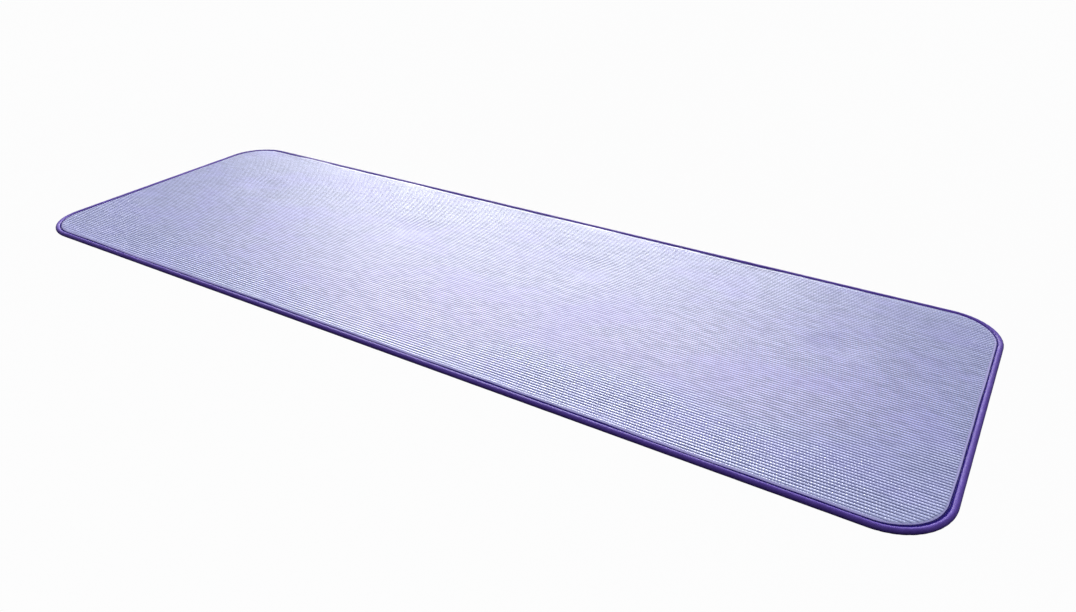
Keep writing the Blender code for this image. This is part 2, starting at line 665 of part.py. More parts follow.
# ---- assembly ----
def build():
    clear_scene()
    fold_centre = fold_empty("fold_centre_axis", (0.0, 0.0, CENTRE_FOLD_Z))
    fold_head = fold_empty("fold_head_axis", (-OUTER_FOLD_X, 0.0, OUTER_FOLD_Z))
    fold_foot = fold_empty("fold_foot_axis", (OUTER_FOLD_X, 0.0, OUTER_FOLD_Z), parent=fold_centre)
    groups = {"head": [], "chest": [], "hip": [], "foot": []}

    for panel in PANELS:
        for layer in LAYERS:
            groups[panel[0]].append(make_layer(layer, panel))
        groups[panel[0]].append(make_heating_wire(panel))
    head_layers = {obj.name: obj for obj in groups["head"]}
    for layer in ("lower_foam", "heat_reflector", "heater_felt", "upper_foam"):
        cut_inlet_pocket(head_layers[f"{layer}_head"], f"{layer}_inlet_pocket")
    foam = head_layers["upper_foam_head"]
    cut_component_pocket(foam, "thermostat_pocket", THERMOSTAT)
    cut_component_pocket(foam, "splice_pocket", SPLICE)
    cut_component_pocket(foam, "sensor_pocket", SENSOR)

    head_path = end_path(-1, PANELS[0][2])
    foot_path = end_path(1, PANELS[3][1])
    head_binding = make_binding("binding_head", head_path)
    cut_inlet_window(head_binding)
    groups["head"].append(head_binding)
    groups["head"].extend(head_cords(head_path))
    groups["foot"].append(make_binding("binding_foot", foot_path))
    groups["foot"].append(make_cord("piping_cord_foot", foot_path))
    for panel_name, low_x, high_x in PANELS[1:3]:
        for tag, side in (("front", -1), ("back", 1)):
            path = straight_path(low_x, high_x, side)
            groups[panel_name].append(make_binding(f"binding_{panel_name}_{tag}", path))
            groups[panel_name].append(make_cord(f"piping_cord_{panel_name}_{tag}", path))

    upper = make_shell("inlet_shell_upper", 1)
    cut_lead_slots(upper)
    groups["head"] += [upper, make_shell("inlet_shell_lower", -1)]
    groups["head"] += [make_insert(), make_board(), make_gasket()]
    for number, offset in enumerate(PIN_OFFSETS, start=1):
        groups["head"].append(make_pin(number, offset))
    for number, offset in enumerate((-SCREW_OFFSET_X, SCREW_OFFSET_X), start=1):
        groups["head"].append(make_screw(number, offset))
    groups["head"].extend(make_leads())
    groups["head"].append(make_component("thermostat", THERMOSTAT, DARK_CASE))
    groups["head"].append(make_component("wire_splice", SPLICE, CLEAR_SILICONE))
    groups["head"].append(make_component("temperature_sensor", SENSOR, EPOXY))

    foot_foam = next(obj for obj in groups["foot"] if obj.name == "upper_foam_foot")
    cap_bounds = end_cap_bounds(PANELS[3][1])
    cut_component_pocket(foot_foam, "end_cap_pocket", cap_bounds)
    groups["foot"].append(make_end_cap(cap_bounds))

    for group, parent in (("head", fold_head), ("hip", fold_centre), ("foot", fold_foot)):
        for obj in groups[group]:
            origin = world_origin(parent)
            obj.data.transform(Matrix.Translation(-origin))
            place_under(obj, parent, origin)


def world_origin(obj):
    origin = Vector((0.0, 0.0, 0.0))
    while obj is not None:
        origin += obj.location
        obj = obj.parent
    return origin


build()
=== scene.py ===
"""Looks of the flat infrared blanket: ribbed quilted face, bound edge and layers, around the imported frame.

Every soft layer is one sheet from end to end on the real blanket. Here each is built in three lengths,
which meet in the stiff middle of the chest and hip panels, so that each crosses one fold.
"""

import json
import math

import bmesh
import bpy
import numpy as np
from mathutils import Matrix, Vector


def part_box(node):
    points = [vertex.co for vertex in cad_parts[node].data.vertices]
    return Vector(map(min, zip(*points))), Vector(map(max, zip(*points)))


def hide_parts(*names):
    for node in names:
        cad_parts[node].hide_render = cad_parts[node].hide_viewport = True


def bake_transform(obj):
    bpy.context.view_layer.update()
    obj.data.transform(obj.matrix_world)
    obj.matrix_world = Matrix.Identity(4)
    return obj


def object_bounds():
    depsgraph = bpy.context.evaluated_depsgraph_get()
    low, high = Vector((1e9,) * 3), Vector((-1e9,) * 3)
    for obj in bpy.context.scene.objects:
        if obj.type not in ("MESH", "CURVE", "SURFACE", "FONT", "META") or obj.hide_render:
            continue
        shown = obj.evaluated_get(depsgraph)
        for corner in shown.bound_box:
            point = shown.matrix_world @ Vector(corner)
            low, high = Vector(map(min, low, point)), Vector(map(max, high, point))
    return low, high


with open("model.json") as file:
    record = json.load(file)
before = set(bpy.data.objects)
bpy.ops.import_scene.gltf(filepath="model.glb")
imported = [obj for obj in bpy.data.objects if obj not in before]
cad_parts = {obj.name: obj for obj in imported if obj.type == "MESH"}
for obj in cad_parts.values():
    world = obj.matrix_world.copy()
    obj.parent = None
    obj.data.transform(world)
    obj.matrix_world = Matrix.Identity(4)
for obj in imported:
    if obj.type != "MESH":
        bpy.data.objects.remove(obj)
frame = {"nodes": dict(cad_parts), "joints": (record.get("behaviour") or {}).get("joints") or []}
cad_low, cad_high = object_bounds()

# ---- measured from the frame ----
HALF_X = cad_high.x
HALF_Y = cad_high.y
TOP_Z = cad_high.z
COVER_INSET = HALF_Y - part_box("top_cover_chest")[1].y
CORNER_RADIUS = 0.090
JOINTS = {joint["name"]: joint for joint in frame["joints"]}
HEAD_FOLD_X = JOINTS["fold_head"]["pos_m"][0]
CENTRE_FOLD_X = JOINTS["fold_centre"]["pos_m"][0]
FOOT_FOLD_X = JOINTS["fold_foot"]["pos_m"][0]
WELT_LOW, WELT_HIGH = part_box("binding_chest_front")
WELT_RADIUS = (WELT_HIGH.z - WELT_LOW.z) / 2
WELT_Z = (WELT_HIGH.z + WELT_LOW.z) / 2
CORD_LOW, CORD_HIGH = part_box("piping_cord_chest_front")
CORD_RADIUS = (CORD_HIGH.z - CORD_LOW.z) / 2
WIRE_LOW, WIRE_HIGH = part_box("heating_wire_chest")
WIRE_RADIUS = (WIRE_HIGH.z - WIRE_LOW.z) / 2
WIRE_Z = (WIRE_HIGH.z + WIRE_LOW.z) / 2

# ---- how the sheets bend and where the three lengths meet ----
OUTER_BEND = 0.010  # half the width of the stretch that bends at an outer fold
CENTRE_BEND = 0.020
MEET_X = (CENTRE_FOLD_X - HEAD_FOLD_X) / 2
BEND_STEP = 0.0013
FLAT_STEP = 0.012

# ---- the face ----
RIB_PITCH = 0.0058
RIB_HEIGHT = 0.00095
ROWS_PER_RIB = 8
FACE_INSET = 0.0116  # the face's seam, measured in from the outline
FACE_THICKNESS = 0.0010
SEAM_Z = 0.0073
SHOULDER_Z = 0.0087
ROLL_WIDTH = 0.0022
CROWN_WIDTH = 0.030
CROWN_Z = TOP_Z - RIB_HEIGHT
SIDE_STEPS = (0.0, 0.0001, 0.0003, 0.0006, 0.0010, 0.0015, 0.0021, 0.0028, 0.0037, 0.0047, 0.0058, 0.0070)
END_STEPS = SIDE_STEPS + (0.0083, 0.0098, 0.0118, 0.0145, 0.0180)
END_GRID_X = HALF_X - CORNER_RADIUS - 0.020
END_FILL = 6

# The groove colour, far darker than the crest colour, is painted shade in the rib grooves.
GROOVE_PAINTED_SHADE = (0.055, 0.064, 0.270)
CREST_COLOUR = (0.590, 0.630, 0.990)
CLOUD_COLOUR = (0.420, 0.380, 0.900)
STRIP_COLOUR = (0.510, 0.460, 0.900)
COURSE_PITCH = 0.0045  # knit courses along a rib
INLET_RISE = 0.0017

# ---- the seam between the face and the welt ----
STITCH_PITCH = 0.0040
STITCH_LENGTH = 0.0027
STITCH_RADIUS = 0.00028
STITCH_INSET = 0.0107
STITCH_Z = 0.0074

# ---- inside ----
GAP = 0.0003  # between neighbouring parts
WIRE_PITCH = 0.0415
WIRE_TURN = 0.012
WIRE_RUNS = 10  # in each panel
WIRE_FIRST_RUN = 0.0305  # from a fold to the next panel's first run
NOSE_SHOULDER = 0.008  # the inlet's nose is this much narrower than its shell at each side
NOSE_WINDOW = 0.0066  # height of the welt's opening for the nose
PINS = "contact_pin_1 contact_pin_2 contact_pin_3 contact_pin_4"

# ---- light ----
WORLD_DIM = 0.05
WORLD_BRIGHT = 0.92
KEY_POWER = 520
KEY_DISTANCE = 6.0

# ---- gentle shape left by storage, folded in quarters: (X, Y, radius, depth) and (X, width, height) ----
DIMPLES = (
    (-0.675, 0.105, 0.040, 0.0015),
    (-0.205, 0.095, 0.045, 0.0017),
    (0.195, 0.120, 0.045, 0.0017),
    (0.685, 0.085, 0.040, 0.0018),
)
SWELLS = ((-0.62, 0.16, 0.0009), (-0.20, 0.20, 0.0008), (0.30, 0.15, 0.0013), (0.74, 0.13, 0.0009))

# ---- cloth simulation of the face, as a coarse padded envelope ----
CLOTH_PITCH = 0.020
CLOTH_FRAMES = 20
CLOTH_CAP = 0.0008
CLOTH_DEPTH = 0.008

SECTIONS = {
    "head": ("head_panel", "chest_panel", HEAD_FOLD_X, OUTER_BEND, ("head", "chest")),
    "middle": ("chest_panel", "hip_panel", CENTRE_FOLD_X, CENTRE_BEND, ("chest", "hip")),
    "foot": ("hip_panel", "foot_panel", FOOT_FOLD_X, OUTER_BEND, ("hip", "foot")),
}
LIMITS = {"head": (-END_GRID_X, -MEET_X), "middle": (-MEET_X, MEET_X), "foot": (MEET_X, END_GRID_X)}


def add_object(name, data):
    obj = bpy.data.objects.new(name, data)
    bpy.context.scene.collection.objects.link(obj)
    return obj


# ======== shape functions ========
def smoothstep(low, high, value):
    t = np.clip((value - low) / (high - low), 0.0, 1.0)
    return t * t * (3 - 2 * t)


def edge_distance(x, y, inset):
    """Distance inwards from a rounded-rectangle outline that lies inset from the blanket's own outline."""
    radius = CORNER_RADIUS - inset
    qx = np.abs(x) - (HALF_X - inset - radius)
    qy = np.abs(y) - (HALF_Y - inset - radius)
    outside = np.hypot(np.maximum(qx, 0), np.maximum(qy, 0))
    return radius - outside - np.minimum(np.maximum(qx, qy), 0)


def outline_x(y, inset):
    """Half the length of the outline at a given Y."""
    radius = CORNER_RADIUS - inset
    over = np.clip(np.abs(y) - (HALF_Y - inset - radius), 0, radius)
    return HALF_X - inset - radius + np.sqrt(radius**2 - over**2)


def storage_shape(x, y):
    """Slow swells and four shallow dimples."""
    height = np.zeros_like(x)
    for centre, width, rise in SWELLS:
        height += rise * np.exp(-(((x - centre) / width) ** 2))
    for centre_x, centre_y, radius, depth in DIMPLES:
        reach = np.hypot(x - centre_x, (y - centre_y) * 1.3) / radius
        height -= depth * np.exp(-(reach**2))
        height += 0.35 * depth * np.exp(-((reach - 1.6) ** 2) * 3)
    return height


# ======== cloth simulation ========
def envelope_mesh(columns, rows, width_x, width_y):
    """A closed flat envelope: a top grid and a bottom grid that share their border."""
    xs = np.linspace(-width_x, width_x, columns)
    ys = np.linspace(-width_y, width_y, rows)
    verts = [(x, y, 0.0) for x in xs for y in ys]
    top = {(i, j): i * rows + j for i in range(columns) for j in range(rows)}
    bottom = dict(top)
    for i in range(1, columns - 1):
        for j in range(1, rows - 1):
            bottom[i, j] = len(verts)
            verts.append((xs[i], ys[j], -CLOTH_DEPTH))
    faces = []
    for i in range(columns - 1):
        for j in range(rows - 1):
            faces.append((top[i, j], top[i + 1, j], top[i + 1, j + 1], top[i, j + 1]))
            faces.append((bottom[i, j + 1], bottom[i + 1, j + 1], bottom[i + 1, j], bottom[i, j]))
    mesh = bpy.data.meshes.new("face_envelope")
    mesh.from_pydata(verts, [], faces)
    return mesh, xs, ys


def simulate_face():
    """Puff the face a little with Cloth and return its height as a grid: (xs, ys, heights)."""
    columns = int(round(2 * HALF_X / CLOTH_PITCH))
    rows = int(round(2 * HALF_Y / CLOTH_PITCH))
    width_x, width_y = HALF_X - COVER_INSET, HALF_Y - COVER_INSET
    mesh, xs, ys = envelope_mesh(columns, rows, width_x, width_y)
    obj = add_object("face_envelope", mesh)
    pin = obj.vertex_groups.new(name="pin")
    for vert in mesh.vertices:
        x, y, z = vert.co
        held = z < -CLOTH_DEPTH / 2 or min(width_x - abs(x), width_y - abs(y)) < CLOTH_PITCH / 2
        near_tack = any(math.hypot(x - tx, y - ty) < CLOTH_PITCH * 0.8 for tx, ty, _, _ in DIMPLES)
        if held or near_tack:
            pin.add([vert.index], 1.0, "REPLACE")
    cloth = obj.modifiers.new("Cloth", "CLOTH")
    settings = cloth.settings
    settings.quality = 6
    settings.mass = 0.3
    settings.tension_stiffness = 25
    settings.compression_stiffness = 10
    settings.shear_stiffness = 8
    settings.bending_stiffness = 6
    settings.vertex_group_mass = "pin"
    settings.use_pressure = True
    settings.uniform_pressure_force = 4
    settings.shrink_min = -0.002
    settings.effector_weights.gravity = 0
    cloth.collision_settings.use_self_collision = False
    scene = bpy.context.scene
    for frame_number in range(1, CLOTH_FRAMES + 1):
        scene.frame_set(frame_number)
    settled = obj.evaluated_get(bpy.context.evaluated_depsgraph_get()).to_mesh()
    heights = np.array([settled.vertices[k].co.z for k in range(columns * rows)]).reshape(columns, rows)
    scene.frame_set(1)
    bpy.data.objects.remove(obj, do_unlink=True)
    heights -= heights.mean()
    peak = max(np.abs(heights).max(), 1e-9)
    return xs, ys, CLOTH_CAP * np.tanh(heights / peak * 1.5)


CLOTH = simulate_face()


def cloth_shape(x, y):
    """Height of the simulated face at any point, between its grid points."""
    if CLOTH is None:
        return np.zeros_like(x)
    xs, ys, heights = CLOTH
    u = np.clip((x - xs[0]) / (xs[1] - xs[0]), 0, len(xs) - 1.001)
    v = np.clip((y - ys[0]) / (ys[1] - ys[0]), 0, len(ys) - 1.001)
    i, j = u.astype(int), v.astype(int)
    s, t = smoothstep(0, 1, u - i), smoothstep(0, 1, v - j)
    low = heights[i, j] * (1 - s) + heights[i + 1, j] * s
    high = heights[i, j + 1] * (1 - s) + heights[i + 1, j + 1] * s
    return low * (1 - t) + high * t


def inlet_bulge(x, y):
    """The face stands a little higher over the power inlet's shell."""
    low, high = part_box("inlet_shell_upper")
    margin = 0.045
    across = smoothstep(low.x - margin, low.x, x) * (1 - smoothstep(high.x, high.x + margin, x))
    return INLET_RISE * across * np.exp(-np.maximum(HALF_Y - FACE_INSET - y, 0) / 0.024)


def seam_wave(x, y):
    """How far the seam wanders inwards from its line, as a hand-guided seam does."""
    along = x + 0.8 * y
    shift = 0.0007 * np.sin(along * 11.0 + 0.6)
    shift += 0.0004 * np.sin(along * 27.0 + 2.0)
    shift += 0.0002 * np.sin(along * 63.0)
    at_inlet = smoothstep(-0.78, -0.73, x) * (1 - smoothstep(-0.65, -0.60, x)) * smoothstep(0.1, 0.2, y)
    return shift * (1 - at_inlet)


def face_rise(x, y, distance):
    """How far the padded face departs from flat."""
    settled = smoothstep(0.0, 0.060, distance)
    return (storage_shape(x, y) + cloth_shape(x, y)) * settled + inlet_bulge(x, y)


def roll(distance, width):
    """0 at the seam, 1 from width inwards, round in between."""
    t = np.clip(distance / width, 0.0, 1.0)
    return np.sqrt(1 - (1 - t) ** 2.2)


def ribs(y, distance):
    """Rounded crests with narrow grooves between them, fading out into the smooth strip by the seam."""
    share = np.abs((y / RIB_PITCH + 0.5) % 1.0 - 0.5) * 2
    return RIB_HEIGHT * (1 - share**2.2) * smoothstep(0.0012, 0.0040, distance)


def face_base(x, y):
    """The face without its ribs."""
    distance = edge_distance(x, y, FACE_INSET)
    crown = (CROWN_Z - SHOULDER_Z) * (1 - np.exp(-distance / CROWN_WIDTH))
    return SEAM_Z + (SHOULDER_Z - SEAM_Z) * roll(distance, ROLL_WIDTH) + crown + face_rise(x, y, distance)


def face_top(x, y):
    return face_base(x, y) + ribs(y, edge_distance(x, y, FACE_INSET))


def inward(x, y):
    """Unit direction from a point near the outline towards the inside."""
    qx = np.maximum(np.abs(x) - (HALF_X - CORNER_RADIUS), 0)
    qy = np.maximum(np.abs(y) - (HALF_Y - CORNER_RADIUS), 0)
    size = np.maximum(np.hypot(qx, qy), 1e-9)
    return -np.sign(x) * qx / size, -np.sign(y) * qy / size


def wander(obj, reach):
    """Move a sheet's border with the seam's wander, fading out towards the middle."""
    mesh = obj.data
    co = np.zeros(len(mesh.vertices) * 3)
    mesh.vertices.foreach_get("co", co)
    co = co.reshape(-1, 3)
    x, y = co[:, 0].copy(), co[:, 1].copy()
    shift = seam_wave(x, y) * (1 - smoothstep(0.0, reach, edge_distance(x, y, FACE_INSET)))
    nx, ny = inward(x, y)
    co[:, 0] += nx * shift
    co[:, 1] += ny * shift
    mesh.vertices.foreach_set("co", co.ravel())
    mesh.update()


# ======== mesh helpers ========
def new_object(name, verts, faces, smooth_angle=40):
    mesh = bpy.data.meshes.new(name)
    mesh.from_pydata([tuple(v) for v in verts], [], faces)
    mesh.validate()
    mesh.shade_smooth()
    mesh.set_sharp_from_angle(angle=math.radians(smooth_angle))
    return add_object(name, mesh)


def store_rest(obj):
    """Keep the rest place and the distance from the edge, so that materials don't slide on a bend."""
    mesh = obj.data
    co = np.zeros(len(mesh.vertices) * 3, np.float32)
    mesh.vertices.foreach_get("co", co)
    rest = mesh.attributes.get("rest") or mesh.attributes.new("rest", "FLOAT_VECTOR", "POINT")
    rest.data.foreach_set("vector", co)
    co = co.reshape(-1, 3)
    edge = mesh.attributes.get("edge") or mesh.attributes.new("edge", "FLOAT", "POINT")
    edge.data.foreach_set("value", edge_distance(co[:, 0], co[:, 1], 0.0).astype(np.float32))


def closed_object(name, verts, faces, smooth_angle=40):
    """A new object whose faces all look outwards."""
    obj = new_object(name, verts, faces, smooth_angle)
    bm = bmesh.new()
    bm.from_mesh(obj.data)
    bmesh.ops.recalc_face_normals(bm, faces=bm.faces)
    bm.to_mesh(obj.data)
    bm.free()
    return obj


def ring_quads(base, rings, sides):
    """Faces between neighbouring rings of points, the first of which starts at point number base."""
    quads = []
    for a in range(base, base + (rings - 1) * sides, sides):
        b = a + sides
        quads += [(a + k, a + (k + 1) % sides, b + (k + 1) % sides, b + k) for k in range(sides)]
    return quads


def subtract(obj, low, high):
    """Cut a box out of an object, for good."""
    bpy.ops.mesh.primitive_cube_add(size=1, location=(Vector(low) + Vector(high)) / 2)
    cutter = bpy.context.object
    cutter.scale = Vector(high) - Vector(low)
    modifier = obj.modifiers.new("cut", "BOOLEAN")
    modifier.operation = "DIFFERENCE"
    modifier.solver = "EXACT"
    modifier.object = cutter
    bpy.context.view_layer.update()
    depsgraph = bpy.context.evaluated_depsgraph_get()
    result = bpy.data.meshes.new_from_object(obj.evaluated_get(depsgraph), depsgraph=depsgraph)
    obj.modifiers.remove(modifier)
    obj.data = result
    bpy.data.objects.remove(cutter, do_unlink=True)


def span(low, high, step):
    count = max(1, int(math.ceil((high - low) / step - 1e-6)))
    return list(np.linspace(low, high, count + 1))


def fixed_stations(section):
    """X stations of one length, from its lowest to its highest fixed place, finer where it bends."""
    _, _, fold_x, bend, _ = SECTIONS[section]
    low, high = LIMITS[section]
    before = span(low, fold_x - bend, FLAT_STEP)
    across = span(fold_x - bend, fold_x + bend, BEND_STEP)
    after = span(fold_x + bend, high, FLAT_STEP)
    return np.array(before[:-1] + across + after[1:])


def station_grid(section, rows, inset):
    """X of every grid point: shape (stations, rows). At a rounded end the stations follow the outline."""
    fixed = np.repeat(fixed_stations(section)[:, None], len(rows), axis=1)
    if section == "middle":
        return fixed
    end = outline_x(rows, inset)
    steps = [end - d for d in END_STEPS]
    last = steps[-1]
    fill = [last + (END_GRID_X - last) * k / END_FILL for k in range(1, END_FILL)]
    zone = np.array(steps + fill)
    return np.vstack([-zone, fixed]) if section == "head" else np.vstack([fixed, zone[::-1]])


def mirrored_rows(edge_steps, half_width, inner):
    """Y of the rows: fine steps in from both edges, with the inner rows between them."""
    low = [-half_width + d for d in edge_steps]
    middle = [y for y in inner if abs(y) < half_width - edge_steps[-1]]
    return np.array(low + middle + [-y for y in reversed(low)])


def sheet(name, section, rows, coarse, inset, top, bottom):
    """A closed sheet between two height functions. The underside only uses the rows numbered in coarse."""
    grid = station_grid(section, rows, inset)
    stations, count = grid.shape
    y = np.repeat(rows[None, :], stations, axis=0)
    upper = np.dstack([grid, y, top(grid, y)]).reshape(-1, 3)
    low_x, low_y = grid[:, coarse], y[:, coarse]
    lower = np.dstack([low_x, low_y, bottom(low_x, low_y)]).reshape(-1, 3)
    width = len(coarse)
    base = len(upper)
    faces = []
    for i in range(stations - 1):
        a, b = i * count, (i + 1) * count
        faces += [(a + j, b + j, b + j + 1, a + j + 1) for j in range(count - 1)]
        c, d = base + i * width, base + (i + 1) * width
        faces += [(c + j, c + j + 1, d + j + 1, d + j) for j in range(width - 1)]
        faces.append((a, c, d, b))
        faces.append((b + count - 1, d + width - 1, c + width - 1, a + count - 1))
    for i, flip in ((0, False), (stations - 1, True)):
        for j in range(width - 1):
            above = [i * count + k for k in range(coarse[j], coarse[j + 1] + 1)]
            below = [base + i * width + j + 1, base + i * width + j]
            loop = above + below
            faces.append(tuple(reversed(loop)) if flip else tuple(loop))
    return new_object(name, np.vstack([upper, lower]), faces)


# ======== paths ========
def rounded_path(section, inset, step):
    """Stations (x, y, outward x, outward y) along an outline that lies inset from the blanket's own."""
    radius = CORNER_RADIUS - inset
    half_x, half_y = HALF_X - inset, HALF_Y - inset
    if section == "middle":
        xs = fixed_stations(section)
        return [[(x, side * half_y, 0.0, float(side)) for x in refine(xs, step)] for side in (-1, 1)]
    sign = -1 if section == "head" else 1
    fixed = refine(fixed_stations(section), step)
    corner_x = sign * (half_x - radius)
    straight = [x for x in fixed if abs(x) <= abs(corner_x) + 1e-9 and abs(x - corner_x) > 1e-4]
    straight.sort(key=lambda x: sign * x)
    path = [(x, -half_y, 0.0, -1.0) for x in straight]
    corner_y = half_y - radius
    turns = max(8, int(math.ceil(radius * math.pi / 2 / step)))
    turn = [math.pi / 2 * k / turns for k in range(turns + 1)]
    normals = [(sign * math.sin(angle), -math.cos(angle)) for angle in turn]
    path += [(corner_x + radius * nx, radius * ny - corner_y, nx, ny) for nx, ny in normals]
    path += [(sign * half_x, y, float(sign), 0.0) for y in span(-corner_y, corner_y, step)[1:-1]]
    normals = [(sign * math.cos(angle), math.sin(angle)) for angle in turn]
    path += [(corner_x + radius * nx, radius * ny + corner_y, nx, ny) for nx, ny in normals]
    path += [(x, half_y, 0.0, 1.0) for x in reversed(straight)]
    return [path]


def edge_paths(section, inset, step):
    """Each path of a length as (its name, the sides it runs along, its stations)."""
    paths = rounded_path(section, inset, step)
    if section != "middle":
        return [(section, ["front", "back"], paths[0])]
    return [(f"middle_{side}", [side], path) for side, path in zip(("front", "back"), paths)]


def refine(xs, step):
    """Split any gap that is longer than step."""
    result = [xs[0]]
    for a, b in zip(xs, xs[1:]):
        result += span(a, b, step)[1:]
    return result


def tube(name, path, radius, bore=None, sides=20, z=WELT_Z, shape=None):
    """Sweep a round section along a path. shape(x, y, angle) gives each outer point's share of the radius."""
    rings = [radius] if bore is None else [radius, bore]
    verts = []
    angles = [2 * math.pi * k / sides for k in range(sides)]
    for ring_radius in rings:
        for x, y, nx, ny in path:
            for angle in angles:
                grow = shape(x, y, angle) if shape and ring_radius == radius else 1.0
                out = ring_radius * grow * math.cos(angle)
                up = ring_radius * grow * math.sin(angle)
                verts.append((x + out * nx, y + out * ny, z + up))
    count = len(path)
    faces = ring_quads(0, count, sides)
    if bore is not None:
        faces += [quad[::-1] for quad in ring_quads(count * sides, count, sides)]
    for i in (0, count - 1):
        if bore is None:
            faces.append(tuple(i * sides + k for k in range(sides)))
            continue
        inner = count * sides
        for k in range(sides):
            n = (k + 1) % sides
            faces.append((i * sides + k, i * sides + n, inner + i * sides + n, inner + i * sides + k))
    return closed_object(name, verts, faces)


# ======== materials ========
def set_inputs(node, values):
    for socket, value in values.items():
        node.inputs[socket].default_value = value


class Look:
    """A Principled material and short calls that add nodes to it."""

    def __init__(self, name, colour, roughness, metallic=0.0, specular=0.5):
        self.mat = bpy.data.materials.new(name)
        self.mat.use_nodes = True
        self.nodes = self.mat.node_tree.nodes
        self.links = self.mat.node_tree.links
        self.shader = self.nodes["Principled BSDF"]
        set_inputs(self.shader, {"Base Color": (*colour, 1.0), "Roughness": roughness})
        set_inputs(self.shader, {"Metallic": metallic, "Specular IOR Level": specular})

    def feed(self, value, socket):
        if hasattr(value, "is_output"):
            self.links.new(value, socket)
        else:
            socket.default_value = value

    def stored(self, name, output):
        node = self.nodes.new("ShaderNodeAttribute")
        node.attribute_name = name
        return node.outputs[output]

    def rest(self, scale=(1, 1, 1)):
        """Rest place of the point, stored on the mesh, times a scale."""
        return self.scaled(self.stored("rest", "Vector"), scale)

    def place(self, scale=(1, 1, 1)):
        return self.scaled(self.nodes.new("ShaderNodeTexCoord").outputs["Object"], scale)

    def scaled(self, vector, scale):
        node = self.nodes.new("ShaderNodeMapping")
        self.links.new(vector, node.inputs["Vector"])
        node.inputs["Scale"].default_value = scale
        return node.outputs["Vector"]

    def axis(self, vector, letter):
        node = self.nodes.new("ShaderNodeSeparateXYZ")
        self.links.new(vector, node.inputs[0])
        return node.outputs[letter]

    def math(self, operation, a, b=0.0, c=0.0):
        node = self.nodes.new("ShaderNodeMath")
        node.operation = operation
        for value, socket in zip((a, b, c), node.inputs):
            self.feed(value, socket)
        return node.outputs[0]

    def remap(self, value, low, high, to_low=0.0, to_high=1.0, smooth=True):
        node = self.nodes.new("ShaderNodeMapRange")
        node.interpolation_type = "SMOOTHSTEP" if smooth else "LINEAR"
        self.feed(value, node.inputs["Value"])
        set_inputs(node, {"From Min": low, "From Max": high, "To Min": to_low, "To Max": to_high})
        return node.outputs["Result"]

    def noise(self, vector, scale, detail=3.0, roughness=0.55):
        node = self.nodes.new("ShaderNodeTexNoise")
        self.links.new(vector, node.inputs["Vector"])
        set_inputs(node, {"Scale": scale, "Detail": detail, "Roughness": roughness})
        return node.outputs["Fac"]

    def cells(self, vector, scale, randomness=1.0):
        node = self.nodes.new("ShaderNodeTexVoronoi")
        self.links.new(vector, node.inputs["Vector"])
        set_inputs(node, {"Scale": scale, "Randomness": randomness})
        return node.outputs["Distance"]

    def mix(self, share, first, second):
        node = self.nodes.new("ShaderNodeMix")
        node.data_type = "RGBA"
        self.feed(share, node.inputs[0])
        for value, socket in ((first, node.inputs[6]), (second, node.inputs[7])):
            self.feed(value if hasattr(value, "is_output") else (*value, 1.0), socket)
        return node.outputs[2]

    def bump(self, height, distance, strength=1.0, normal=None):
        node = self.nodes.new("ShaderNodeBump")
        set_inputs(node, {"Strength": strength, "Distance": distance})
        self.links.new(height, node.inputs["Height"])
        if normal is not None:
            self.links.new(normal, node.inputs["Normal"])
        return node.outputs["Normal"]

    def out(self, socket, value):
        self.feed(value, self.shader.inputs[socket])

    def wear(self, obj):
        obj.data.materials.clear()
        obj.data.materials.append(self.mat)


def face_look():
    """Pale lavender ribbed jersey: ribs along X, each crossed every few millimetres by knit courses. The
    colour carries painted shade: darkest in the grooves between ribs and darker between the courses.
    """
    look = Look("ribbed_face", (0.36, 0.38, 0.70), 0.40, specular=0.85)
    place = look.rest()
    x, y = look.axis(place, "X"), look.axis(place, "Y")
    edge = look.math("SUBTRACT", look.stored("edge", "Fac"), FACE_INSET)
    inside = look.remap(edge, 0.0012, 0.0040)
    phase = look.math("MULTIPLY", y, 2 * math.pi / RIB_PITCH)
    wave = look.math("MULTIPLY_ADD", look.math("COSINE", phase), 0.5, 0.5)
    crest = look.remap(wave, 0.05, 0.52)
    rib_number = look.math("ROUND", look.math("DIVIDE", y, RIB_PITCH))
    stagger = look.math("MULTIPLY", rib_number, 2.4)
    wobble = look.math("MULTIPLY", look.noise(look.rest(), 90.0, 2.0), 5.0)
    notch_phase = look.math("ADD", look.math("MULTIPLY_ADD", x, 2 * math.pi / COURSE_PITCH, stagger), wobble)
    notch = look.math("MULTIPLY_ADD", look.math("COSINE", notch_phase), 0.5, 0.5)
    bead = look.math("MULTIPLY", crest, notch)
    cloudy = look.noise(look.rest((1.0, 1.6, 1.0)), 5.0, 3.0)
    grain = look.noise(look.rest(), 1500.0, 2.0)
    uneven = look.noise(look.rest((0.25, 1.0, 1.0)), 160.0, 2.0)
    # Painted shade: the colour is darkest in the rib grooves and darker between the knit courses, with random
    # unevenness along the ribs.
    shade = look.math("ADD", look.math("MULTIPLY", crest, 0.75), look.math("MULTIPLY", bead, 0.25))
    shade = look.math("MULTIPLY", shade, look.remap(uneven, 0.25, 0.75, 0.72, 1.15))
    colour = look.mix(shade, GROOVE_PAINTED_SHADE, CREST_COLOUR)
    tinted = look.mix(look.math("MULTIPLY", look.remap(cloudy, 0.42, 0.68), 0.30), colour, CLOUD_COLOUR)
    look.out("Base Color", look.mix(inside, STRIP_COLOUR, tinted))
    look.out("Roughness", look.remap(cloudy, 0.3, 0.7, 0.31, 0.37))
    height = look.math("MULTIPLY_ADD", grain, 0.25, look.math("MULTIPLY", bead, inside))
    look.out("Normal", look.bump(height, 0.00030, 0.65))
    look.out("Sheen Weight", 0.20)
    look.out("Sheen Roughness", 0.45)
    look.out("Sheen Tint", (0.80, 0.84, 1.0, 1.0))
    look.out("Specular Tint", (0.94, 0.96, 1.0, 1.0))
    return look


